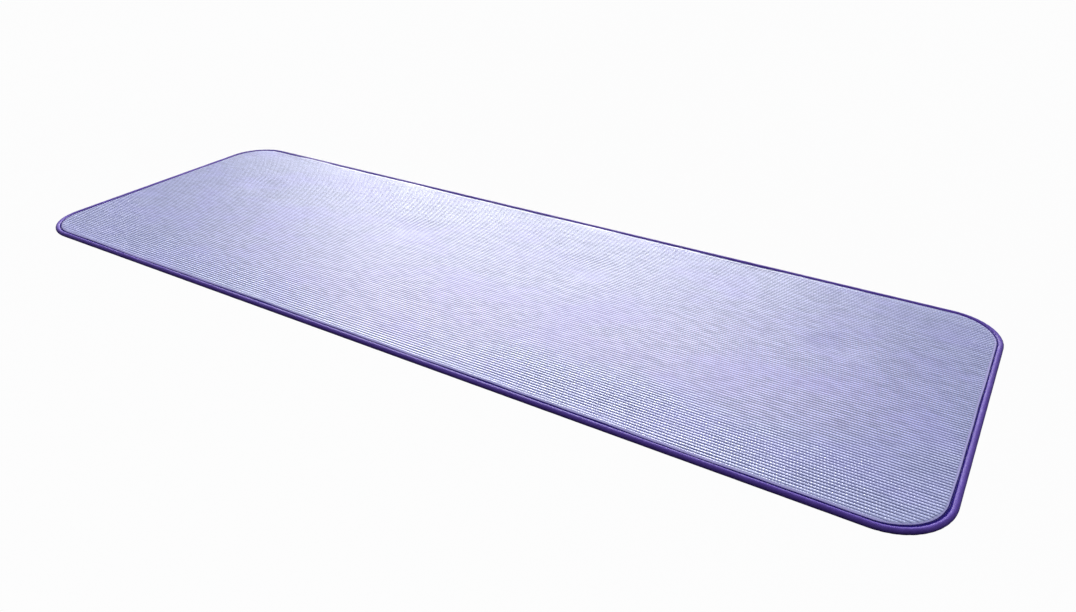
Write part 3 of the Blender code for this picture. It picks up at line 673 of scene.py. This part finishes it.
def seam_shade_tape_look():
    """Woven tape in a very dark navy-violet. The darkness is painted shade: it stands for the shadow in the
    seam's groove.
    """
    look = Look("seam_tape_cloth", (0.022, 0.010, 0.095), 0.85, specular=0.08)
    weave = twill(look, 0.0009)
    lint = look.noise(look.rest(), 500.0, 3.0)
    # The very dark navy is painted shade for the seam's groove, laid over a weave pattern.
    colour = look.mix(weave, (0.012, 0.004, 0.140), (0.026, 0.010, 0.250))
    look.out("Base Color", look.mix(look.remap(lint, 0.55, 0.75), colour, (0.045, 0.028, 0.16)))
    look.out("Normal", look.bump(weave, 0.0001))
    return look


def thread_look():
    """Polyester sewing thread, a little shinier than the tape."""
    look = Look("navy_thread", (0.035, 0.018, 0.14), 0.45)
    ply = twill(look, 0.0005)
    look.out("Base Color", look.mix(ply, (0.022, 0.010, 0.095), (0.055, 0.032, 0.20)))
    look.out("Normal", look.bump(ply, 0.00006))
    return look


def twill(look, pitch):
    """Diagonal weave: 0 in the valleys, 1 on the threads."""
    place = look.rest()
    x, y, z = (look.axis(place, letter) for letter in "XYZ")
    slant = look.math("ADD", look.math("ADD", x, y), look.math("MULTIPLY", z, 1.7))
    diagonal = look.math("MULTIPLY", slant, 2 * math.pi / pitch)
    return look.math("MULTIPLY_ADD", look.math("SINE", diagonal), 0.5, 0.5)


def welt_look():
    """Deep violet woven binding with a satin face, a little lighter in worn patches."""
    look = Look("violet_binding", (0.105, 0.060, 0.34), 0.50, specular=0.22)
    weave = twill(look, 0.0011)
    patches = look.noise(look.rest(), 40.0, 3.0)
    streaks = look.noise(look.rest((1, 1, 6)), 260.0, 2.0)
    colour = look.mix(weave, (0.072, 0.034, 0.283), (0.130, 0.066, 0.438))
    worn = look.math("MULTIPLY", look.remap(patches, 0.45, 0.7), 0.35)
    look.out("Base Color", look.mix(worn, colour, (0.170, 0.100, 0.520)))
    look.out("Roughness", look.remap(streaks, 0.3, 0.7, 0.44, 0.58))
    height = look.math("MULTIPLY_ADD", streaks, 0.6, weave)
    look.out("Normal", look.bump(height, 0.00012, 0.8))
    look.out("Sheen Weight", 0.10)
    look.out("Sheen Roughness", 0.35)
    look.out("Sheen Tint", (0.55, 0.42, 1.0, 1.0))
    look.out("Specular Tint", (0.72, 0.62, 1.0, 1.0))
    return look


def underside_look():
    """Dark violet oxford cloth with rows of small grip dots."""
    look = Look("grip_underside", (0.09, 0.055, 0.20), 0.85)
    weave = twill(look, 0.0016)
    dots = look.cells(look.rest((1, 1, 0)), 110.0, randomness=0.0)
    dot = look.remap(dots, 0.16, 0.22, 1.0, 0.0)
    cloth = look.mix(weave, (0.055, 0.035, 0.13), (0.10, 0.065, 0.22))
    look.out("Base Color", look.mix(dot, cloth, (0.15, 0.12, 0.27)))
    look.out("Roughness", look.remap(dot, 0.0, 1.0, 0.9, 0.5, smooth=False))
    look.out("Normal", look.bump(look.math("MULTIPLY_ADD", dot, 3.0, weave), 0.00012))
    return look


def foam_look():
    look = Look("white_foam", (0.86, 0.85, 0.80), 0.9)
    pores = look.cells(look.rest(), 900.0)
    look.out("Base Color", look.mix(look.remap(pores, 0.1, 0.6), (0.66, 0.64, 0.58), (0.90, 0.89, 0.85)))
    look.out("Normal", look.bump(pores, 0.0003))
    return look


def felt_look():
    look = Look("needled_felt", (0.80, 0.77, 0.68), 0.95)
    fibres = look.noise(look.rest((1, 4, 1)), 700.0, 4.0, 0.7)
    look.out("Base Color", look.mix(fibres, (0.62, 0.58, 0.48), (0.90, 0.88, 0.80)))
    look.out("Normal", look.bump(fibres, 0.0003))
    look.out("Sheen Weight", 0.3)
    return look


def foil_look():
    look = Look("aluminised_cloth", (0.80, 0.81, 0.83), 0.28, metallic=1.0)
    creases = look.noise(look.rest(), 60.0, 5.0, 0.65)
    look.out("Base Color", look.mix(creases, (0.74, 0.75, 0.78), (0.85, 0.86, 0.88)))
    look.out("Roughness", look.remap(creases, 0.3, 0.7, 0.18, 0.42))
    look.out("Normal", look.bump(creases, 0.0008))
    return look


def cord_look():
    look = Look("twisted_cotton", (0.84, 0.82, 0.76), 0.9)
    strands = twill(look, 0.0028)
    look.out("Base Color", look.mix(strands, (0.62, 0.59, 0.52), (0.90, 0.88, 0.83)))
    look.out("Normal", look.bump(strands, 0.0004))
    return look


def wire_look():
    look = Look("silicone_wire", (0.50, 0.08, 0.06), 0.42)
    dust = look.noise(look.rest(), 300.0, 3.0)
    look.out("Base Color", look.mix(dust, (0.40, 0.05, 0.04), (0.60, 0.12, 0.09)))
    look.out("Roughness", look.remap(dust, 0.3, 0.7, 0.34, 0.5))
    return look


def moulded_look(name, colour, roughness, grain_scale=2500.0, depth=0.00005, metallic=0.0):
    """Moulded plastic, rubber or metal: fine grain and slight colour and gloss variation."""
    look = Look(name, colour, roughness, metallic)
    grain = look.noise(look.place(), grain_scale, 2.0)
    patches = look.noise(look.place(), 120.0, 3.0)
    darker = tuple(c * 0.82 for c in colour)
    look.out("Base Color", look.mix(patches, darker, colour))
    look.out("Roughness", look.remap(patches, 0.3, 0.7, roughness * 0.85, min(1.0, roughness * 1.15)))
    look.out("Normal", look.bump(grain, depth))
    return look


# ======== soft pieces ========
def settle(obj, look, section, slot_name, nodes=()):
    """Look, attributes, and the CAD nodes that a piece stands for, which are hidden. slot_name is not used.
    """
    body_a, body_b, fold_x, bend, _ = SECTIONS[section]
    look.wear(obj)
    store_rest(obj)
    if nodes:
        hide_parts(*nodes)
    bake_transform(obj)


def panel_nodes(section, prefix):
    return [f"{prefix}_{panel}" for panel in SECTIONS[section][4]]


def face_rows():
    half = HALF_Y - FACE_INSET
    per_side = int(half / RIB_PITCH * ROWS_PER_RIB)
    inner = [k * RIB_PITCH / ROWS_PER_RIB for k in range(-per_side, per_side + 1)]
    rows = mirrored_rows(SIDE_STEPS, half, inner)
    near, far = len(SIDE_STEPS), len(rows) - len(SIDE_STEPS)
    return rows, [*range(near), *range(near, far, 2 * ROWS_PER_RIB), *range(far, len(rows))]


def make_faces():
    rows, coarse = face_rows()
    look = face_look()

    def under(x, y):
        return face_base(x, y) - FACE_THICKNESS

    for section in SECTIONS:
        obj = sheet(f"ribbed_face_{section}", section, rows, coarse, FACE_INSET, face_top, under)
        wander(obj, 0.030)
        settle(obj, look, section, "top_cover", panel_nodes(section, "top_cover"))


def slab_rows(half_width):
    steps = (0.0, 0.0005, 0.0015, 0.0035, 0.0065, 0.0100)
    inner = [k * 0.020 for k in range(-20, 21)]
    rows = mirrored_rows(steps, half_width, inner)
    return rows, list(range(len(rows)))


def slab_heights(node):
    low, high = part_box(node)
    return low.z, high.z


def make_underside():
    rows, coarse = slab_rows(HALF_Y - COVER_INSET)
    low_z, high_z = slab_heights("bottom_cover_chest")
    turned_up = 0.0026  # the border turns up to meet the welt
    look = underside_look()

    def top(x, y):
        return high_z + turned_up * (1 - roll(edge_distance(x, y, COVER_INSET), 0.006))

    def bottom(x, y):
        return top(x, y) - (high_z - low_z)

    for section in SECTIONS:
        obj = sheet(f"grip_underside_{section}", section, rows, coarse, COVER_INSET, top, bottom)
        settle(obj, look, section, "bottom_cover", panel_nodes(section, "bottom_cover"))


def pocket_boxes():
    """Where the layers make room for the inlet and for the tall components, from their CAD boxes."""
    clear = 0.0008
    grow = Vector((clear, clear, 0))
    low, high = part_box("inlet_shell_lower")
    inlet = (low - grow - Vector((0, 0, 0.01)), high + Vector((clear, 0.03, 0.02)))
    parts = []
    for node in ("thermostat", "wire_splice", "temperature_sensor"):
        low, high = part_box(node)
        parts.append((low - grow, high + grow + Vector((0, 0, 0.01))))
    low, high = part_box("wire_end_cap")
    return inlet, parts, (low - grow, high + grow + Vector((0, 0, 0.01)))


def flat(z):
    return lambda x, y: np.full_like(x, z)


def below_face(z):
    """The upper foam's top: it rises and dips with the face, and stays clear of it."""

    def top(x, y):
        lifted = z + face_rise(x, y, edge_distance(x, y, FACE_INSET))
        return np.minimum(lifted, face_base(x, y) - 1.15 * FACE_THICKNESS)

    return top


def make_core():
    inset = HALF_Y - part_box("upper_foam_chest")[1].y
    rows, coarse = slab_rows(HALF_Y - inset)
    inlet, parts, end_cap = pocket_boxes()
    layers = (
        ("lower_foam", "foam", foam_look(), False),
        ("heat_reflector", "reflector", foil_look(), False),
        ("heater_felt", "felt", felt_look(), False),
        ("upper_foam", "foam", foam_look(), True),
    )
    for node, slot_name, look, follows_face in layers:
        low_z, high_z = slab_heights(f"{node}_chest")
        top = below_face(high_z) if follows_face else flat(high_z)
        for section in SECTIONS:
            obj = sheet(f"{node}_{section}_length", section, rows, coarse, inset, top, flat(low_z))
            if section == "head":
                subtract(obj, *inlet)
            pockets = parts if section == "head" else ([end_cap] if section == "foot" else [])
            for low, high in pockets if follows_face else []:
                subtract(obj, low, high)
            settle(obj, look, section, slot_name, panel_nodes(section, node))


def pucker(x, y, angle):
    """The binding's small gathers: it is eased round the cord, and more so round the corners."""
    along = x + y * 0.83
    wave = 0.5 * math.sin(along * 190) + 0.3 * math.sin(along * 311 + 1.3)
    wave += 0.5 * math.sin(along * 97 + 2 * angle)
    over_x, over_y = abs(x) - (HALF_X - CORNER_RADIUS), abs(y) - (HALF_Y - CORNER_RADIUS)
    if over_x <= 0 or over_y <= 0:
        return 0.982 + 0.012 * wave
    turn = math.atan2(over_y, over_x)
    return 0.968 + 0.024 * math.sin(turn * 46 + 1.5 * angle) + 0.006 * wave


def tape_profile(x, y):
    """Section of the seam tape, as (inset, height). It runs from under the welt to the face's edge."""
    w = float(seam_wave(np.array(x), np.array(y)))
    above = (
        (0.0078, 0.0072),
        (0.0088, 0.0074),
        (0.0099 + 0.4 * w, 0.0073),
        (0.0109 + 0.8 * w, 0.0073),
        (0.0114 + w, 0.0075),
        (0.0117 + w, 0.0078),
        (0.0119 + w, 0.0080),
        (0.0122 + w, 0.0078),
    )
    below = ((0.0122 + w, 0.0072), (0.0116 + w, 0.0067), (0.0106, 0.0066), (0.0092, 0.0066), (0.0078, 0.0066))
    return above + below


def swept_strip(name, path, profile):
    verts = []
    for x, y, nx, ny in path:
        verts += [(x - inset * nx, y - inset * ny, z) for inset, z in profile(x, y)]
    width = len(verts) // len(path)
    faces = ring_quads(0, len(path), width)
    faces += [tuple(range(width)), tuple(range(len(verts) - width, len(verts)))]
    return closed_object(name, verts, faces, smooth_angle=50)


def along_path(path, pitch):
    """Points at equal steps along a path: (position, direction, outward)."""
    points = [Vector((x, y, 0)) for x, y, _, _ in path]
    normals = [Vector((nx, ny, 0)) for _, _, nx, ny in path]
    travelled, want, result = 0.0, pitch / 2, []
    for a, b, na, nb in zip(points, points[1:], normals, normals[1:]):
        leg = (b - a).length
        while leg > 0 and want < travelled + leg:
            t = (want - travelled) / leg
            result.append((a.lerp(b, t), (b - a).normalized(), na.lerp(nb, t).normalized()))
            want += pitch
        travelled += leg
    return result


def stitches(name, path):
    """Lock stitches that hold the tape down: short threads that dip into the cloth at both ends."""
    shape = ((-0.5, -0.9, 0.55), (-0.36, 0.25, 0.9), (0.0, 0.6, 1.0), (0.36, 0.25, 0.9), (0.5, -0.9, 0.55))
    sides = 6
    verts, faces = [], []
    for place, direction, out in along_path(path, STITCH_PITCH):
        wave = 0.7 * float(seam_wave(np.array(place.x), np.array(place.y)))
        centre = place - out * (STITCH_INSET + wave) + Vector((0, 0, STITCH_Z))
        up = (Vector((0, 0, 1)) + 0.5 * out).normalized()
        side = direction.cross(up)
        base = len(verts)
        for along, lift, width in shape:
            middle = centre + direction * (along * STITCH_LENGTH) + up * (lift * STITCH_RADIUS)
            for k in range(sides):
                angle = 2 * math.pi * k / sides
                spoke = side * math.cos(angle) + up * math.sin(angle)
                verts.append(middle + spoke * (width * STITCH_RADIUS))
        faces += ring_quads(base, len(shape), sides)
        faces.append(tuple(base + k for k in range(sides)))
        faces.append(tuple(base + (len(shape) - 1) * sides + k for k in range(sides)))
    return closed_object(name, verts, faces)


def make_seams():
    """The tape between the welt and the face, with its row of stitches. The tape's very dark colour is
    painted shade in the seam.
    """
    tape, thread = seam_shade_tape_look(), thread_look()
    shell_low, shell_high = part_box("inlet_shell_upper")
    for section in SECTIONS:
        for tag, _, path in edge_paths(section, 0.0, 0.005):
            strip = swept_strip(f"seam_tape_{tag}", path, tape_profile)
            clear = [path]
            if section == "head":
                margin = 0.001
                low = Vector((shell_low.x - margin, HALF_Y - 0.030, 0.0))
                high = Vector((shell_high.x + margin, HALF_Y - 0.0091, 0.020))
                subtract(strip, low, high)
                low_x, high_x = shell_low.x - 0.003, shell_high.x + 0.003
                gap = [k for k, (x, y, _, _) in enumerate(path) if y > 0 and low_x < x < high_x]
                clear = [path[: gap[0]], path[gap[-1] + 1 :]]
            settle(strip, tape, section, "binding")
            for part, stretch in enumerate(clear):
                row = stitches(f"seam_stitches_{tag}_{part + 1}", stretch)
                settle(row, thread, section, "binding")


def make_edge():
    """The welt and the cord inside it. The inlet's nose comes through the welt's back stretch."""
    binding, cotton = welt_look(), cord_look()
    shell_low, shell_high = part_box("inlet_shell_upper")
    bore = CORD_RADIUS + GAP
    for section in SECTIONS:
        panels = SECTIONS[section][4]
        for tag, sides, path in edge_paths(section, WELT_RADIUS, 0.004):
            names = [f"{panel}_{side}" for panel in panels if panel in ("chest", "hip") for side in sides]
            names += [panel for panel in panels if panel in ("head", "foot")]
            welt = tube(f"edge_binding_{tag}", path, WELT_RADIUS, bore, shape=pucker)
            if section == "head":
                side, half_height = NOSE_SHOULDER - GAP, NOSE_WINDOW / 2
                window_low = Vector((shell_low.x + side, shell_high.y - 0.020, WELT_Z - half_height))
                window_high = Vector((shell_high.x - side, HALF_Y + 0.01, WELT_Z + half_height))
                subtract(welt, window_low, window_high)
            settle(welt, binding, section, "binding", [f"binding_{name}" for name in names])
            make_cords(section, tag, path, names, cotton)


def make_cords(section, tag, path, names, cotton):
    """The cord is one length, but the inlet parts it in two at the head end."""
    lengths = [(tag, path, [f"piping_cord_{name}" for name in names])]
    if section == "head":
        gap_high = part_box("piping_cord_head_back")[0].x
        insert_low, insert_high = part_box("inlet_insert")
        gap_low = insert_low.x + insert_high.x - gap_high
        back = [station for station in path if station[1] > 0 and station[3] > 0.999]
        main = [s for s in path if not (s in back and s[0] > gap_low)]
        main.append((gap_low, back[0][1], 0.0, 1.0))
        rest = [(gap_high, back[0][1], 0.0, 1.0)] + [s for s in back if s[0] > gap_high]
        lengths = [(tag, main, lengths[0][2]), ("head_back", rest, ["piping_cord_head_back"])]
    for name, stations, nodes in lengths:
        cord = tube(f"piping_cord_{name}_length", stations, CORD_RADIUS, sides=12)
        settle(cord, cotton, section, "cord", nodes)


# ======== heating wire ========
def wire_points():
    """The cable's centre line from the splice to the end cap: runs across the blanket, panel after panel."""
    run_y = WIRE_HIGH.y - WIRE_RADIUS
    splice_low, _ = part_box("wire_splice")
    head_low, head_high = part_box("heating_wire_head")
    lead_y = head_high.y - WIRE_RADIUS
    points = [(splice_low.x - GAP, lead_y)]
    first = head_low.x + WIRE_RADIUS
    points += quarter((first, lead_y), (-1, 0), (0, -1))
    points += runs_across(first, run_y)
    for fold_x in (HEAD_FOLD_X, CENTRE_FOLD_X, FOOT_FOLD_X):
        last = first + (WIRE_RUNS - 1) * WIRE_PITCH
        points += quarter((last, run_y), (0, 1), (1, 0))
        first = fold_x + WIRE_FIRST_RUN
        reach = OUTER_BEND if fold_x != CENTRE_FOLD_X else CENTRE_BEND - 0.002
        points += [(x, run_y) for x in span(fold_x - reach, fold_x + reach, BEND_STEP)]
        points += quarter((first, run_y), (1, 0), (0, -1))
        points += runs_across(first, run_y)
    points.append((first + (WIRE_RUNS - 1) * WIRE_PITCH, run_y - WIRE_TURN))
    return points


def quarter(corner, enter, leave, steps=6):
    """A quarter turn of the wire round a corner."""
    enter, leave = Vector(enter), Vector(leave)
    centre = Vector(corner) - WIRE_TURN * enter + WIRE_TURN * leave
    angles = [math.pi / 2 * k / steps for k in range(steps + 1)]
    return [tuple(centre + WIRE_TURN * (enter * math.sin(a) - leave * math.cos(a))) for a in angles]


def runs_across(first, run_y):
    points = []
    for k in range(WIRE_RUNS - 1):
        sign = -1 if k % 2 == 0 else 1
        x = first + k * WIRE_PITCH
        points += quarter((x, sign * run_y), (0, sign), (1, 0))
        points += quarter((x + WIRE_PITCH, sign * run_y), (1, 0), (0, -sign))
    return points


def make_wires():
    points = wire_points()
    look = wire_look()
    lengths = {"head": [], "middle": [], "foot": []}
    previous = None
    for point in points:
        section = "head" if point[0] < -MEET_X else ("middle" if point[0] < MEET_X else "foot")
        if previous and section != previous[0]:
            border = -MEET_X if section == "middle" else MEET_X
            crossing = (border, previous[1][1])
            lengths[previous[0]].append(crossing)
            lengths[section].append(crossing)
        lengths[section].append(point)
        previous = (section, point)
    for section, stations in lengths.items():
        path = wire_stations(stations)
        obj = tube(f"heating_wire_{section}_length", path, WIRE_RADIUS, sides=8, z=WIRE_Z)
        settle(obj, look, section, "heating_wire", panel_nodes(section, "heating_wire"))


def wire_stations(points):
    """Add the sideways direction at each point, widened where the wire turns."""
    clean = [Vector(points[0])]
    for point in points[1:]:
        if (Vector(point) - clean[-1]).length > 1e-5:
            clean.append(Vector(point))
    legs = [(b - a).normalized() for a, b in zip(clean, clean[1:])]
    path = []
    for k, point in enumerate(clean):
        into, out_of = legs[max(k - 1, 0)], legs[min(k, len(legs) - 1)]
        along = (into + out_of).normalized()
        stretch = 1.0 / max(into.dot(along), 0.5)
        path.append((point.x, point.y, along.y * stretch, -along.x * stretch))
    return path


# ======== CAD nodes that stay ========
def dress_cad():
    """The hard parts are the CAD's own solids. Each row: their nodes, then moulded_look's values."""
    for nodes, *values in (
        ("inlet_shell_upper inlet_shell_lower", "black_nylon", (0.035, 0.033, 0.042), 0.42),
        ("inlet_insert", "cream_nylon", (0.72, 0.70, 0.64), 0.45),
        (PINS, "plated_brass", (0.83, 0.64, 0.32), 0.22, 900.0, 0.00002, 1.0),
        ("inlet_gasket", "black_rubber", (0.02, 0.02, 0.022), 0.75),
        ("shell_screw_1 shell_screw_2", "zinc_screw", (0.62, 0.62, 0.64), 0.30, 1200.0, 0.00003, 1.0),
        ("terminal_board", "board_green", (0.04, 0.20, 0.09), 0.40),
        ("live_lead", "brown_lead", (0.30, 0.14, 0.06), 0.45),
        ("neutral_lead", "blue_lead", (0.07, 0.18, 0.52), 0.45),
        ("sensor_lead", "white_lead", (0.82, 0.82, 0.80), 0.45),
        ("thermostat", "black_case", (0.06, 0.06, 0.065), 0.38),
        ("wire_splice wire_end_cap", "clear_silicone", (0.80, 0.80, 0.76), 0.35),
        ("temperature_sensor", "epoxy_bead", (0.66, 0.40, 0.16), 0.30),
    ):
        look = moulded_look(*values)
        for name in nodes.split():
            for slot in frame["nodes"][name].material_slots:
                slot.material = look.mat


# ======== stage, lights and camera ========
def split_rays(tree, light, seen, output):
    """The camera sees one shader. The rays that light the blanket meet the other."""
    view, blend = tree.nodes.new("ShaderNodeLightPath"), tree.nodes.new("ShaderNodeMixShader")
    sources = (view.outputs["Is Camera Ray"], light.outputs[0], seen.outputs[0])
    for source, socket in zip(sources, blend.inputs):
        tree.links.new(source, socket)
    tree.links.new(blend.outputs[0], tree.nodes[output].inputs["Surface"])


def make_stage():
    """A pale seamless floor. It stays evenly white in view and gives little light back to the blanket."""
    bpy.ops.mesh.primitive_plane_add(size=60, location=(0, 0, -0.0004))
    floor = bpy.context.object
    floor.name = "studio_floor"
    look = Look("pale_floor", (0.06, 0.06, 0.065), 0.9, specular=0.0)
    mottle = look.noise(look.place(), 0.4, 1.0)
    look.out("Base Color", look.mix(mottle, (0.05, 0.05, 0.055), (0.07, 0.07, 0.075)))
    glow = look.nodes.new("ShaderNodeEmission")
    look.links.new(look.mix(mottle, (0.972, 0.972, 0.974), (0.984, 0.984, 0.985)), glow.inputs["Color"])
    split_rays(look.mat.node_tree, look.shader, glow, "Material Output")
    look.wear(floor)


def direction(azimuth, elevation):
    """Unit vector, with azimuth turning from +Y towards -X."""
    az, el = math.radians(azimuth), math.radians(elevation)
    return Vector((-math.sin(az) * math.cos(el), math.cos(az) * math.cos(el), math.sin(el)))


def make_world():
    """Soft light, strongest from above and behind the blanket. In view it is a plain pale backdrop."""
    world = bpy.data.worlds.new("studio")
    bpy.context.scene.world = world
    world.use_nodes = True
    nodes, links = world.node_tree.nodes, world.node_tree.links
    place = nodes.new("ShaderNodeTexCoord")
    dot = nodes.new("ShaderNodeVectorMath")
    dot.operation = "DOT_PRODUCT"
    links.new(place.outputs["Generated"], dot.inputs[0])
    dot.inputs[1].default_value = direction(25, 52)
    remap = nodes.new("ShaderNodeMapRange")
    remap.interpolation_type = "SMOOTHSTEP"
    links.new(dot.outputs["Value"], remap.inputs["Value"])
    set_inputs(remap, {"From Min": -0.35, "From Max": 1.0, "To Min": WORLD_DIM, "To Max": WORLD_BRIGHT})
    background = nodes["Background"]
    background.inputs["Color"].default_value = (0.95, 0.97, 1.0, 1.0)
    links.new(remap.outputs["Result"], background.inputs["Strength"])
    backdrop = nodes.new("ShaderNodeBackground")
    backdrop.inputs["Color"].default_value = (0.978, 0.978, 0.980, 1.0)
    split_rays(world.node_tree, background, backdrop, "World Output")


def make_light():
    """One wide softbox, low behind the blanket."""
    target = Vector((0.05, 0.0, 0.0))
    data = bpy.data.lights.new("key_softbox", "AREA")
    data.shape = "RECTANGLE"
    data.size, data.size_y = 4.9, 2.6
    data.energy = KEY_POWER
    data.color = (1.0, 0.99, 0.97)
    obj = add_object("key_softbox", data)
    place = target + direction(28, 18) * KEY_DISTANCE
    obj.location = place
    obj.rotation_euler = (target - place).to_track_quat("-Z", "Y").to_euler()


def make_camera():
    """The viewing angle: yaw to the left of +Y, pitch down, and a trace of roll."""
    yaw, pitch, roll_angle = (math.radians(angle) for angle in (-31.85, 29.00, -0.19))
    forward = Vector((math.sin(yaw) * math.cos(pitch), math.cos(yaw) * math.cos(pitch), -math.sin(pitch)))
    right = Vector((math.cos(yaw), -math.sin(yaw), 0.0))
    up = right.cross(forward)
    rolled_right = math.cos(roll_angle) * right + math.sin(roll_angle) * up
    rolled_up = math.cos(roll_angle) * up - math.sin(roll_angle) * right
    data = bpy.data.cameras.new("camera")
    data.sensor_width = 36.0
    data.sensor_fit = "HORIZONTAL"
    data.lens = 28.72
    data.clip_start, data.clip_end = 0.01, 100
    camera = add_object("camera", data)
    axes = Matrix((rolled_right, rolled_up, -forward)).transposed().to_4x4()
    camera.matrix_world = Matrix.Translation((0.8927, -1.1828, 0.7440)) @ axes
    bpy.context.scene.camera = camera


make_faces()
make_underside()
make_core()
make_edge()
make_seams()
make_wires()
dress_cad()
make_stage()
make_world()
make_light()
make_camera()
bpy.context.scene.view_settings.view_transform = "Standard"
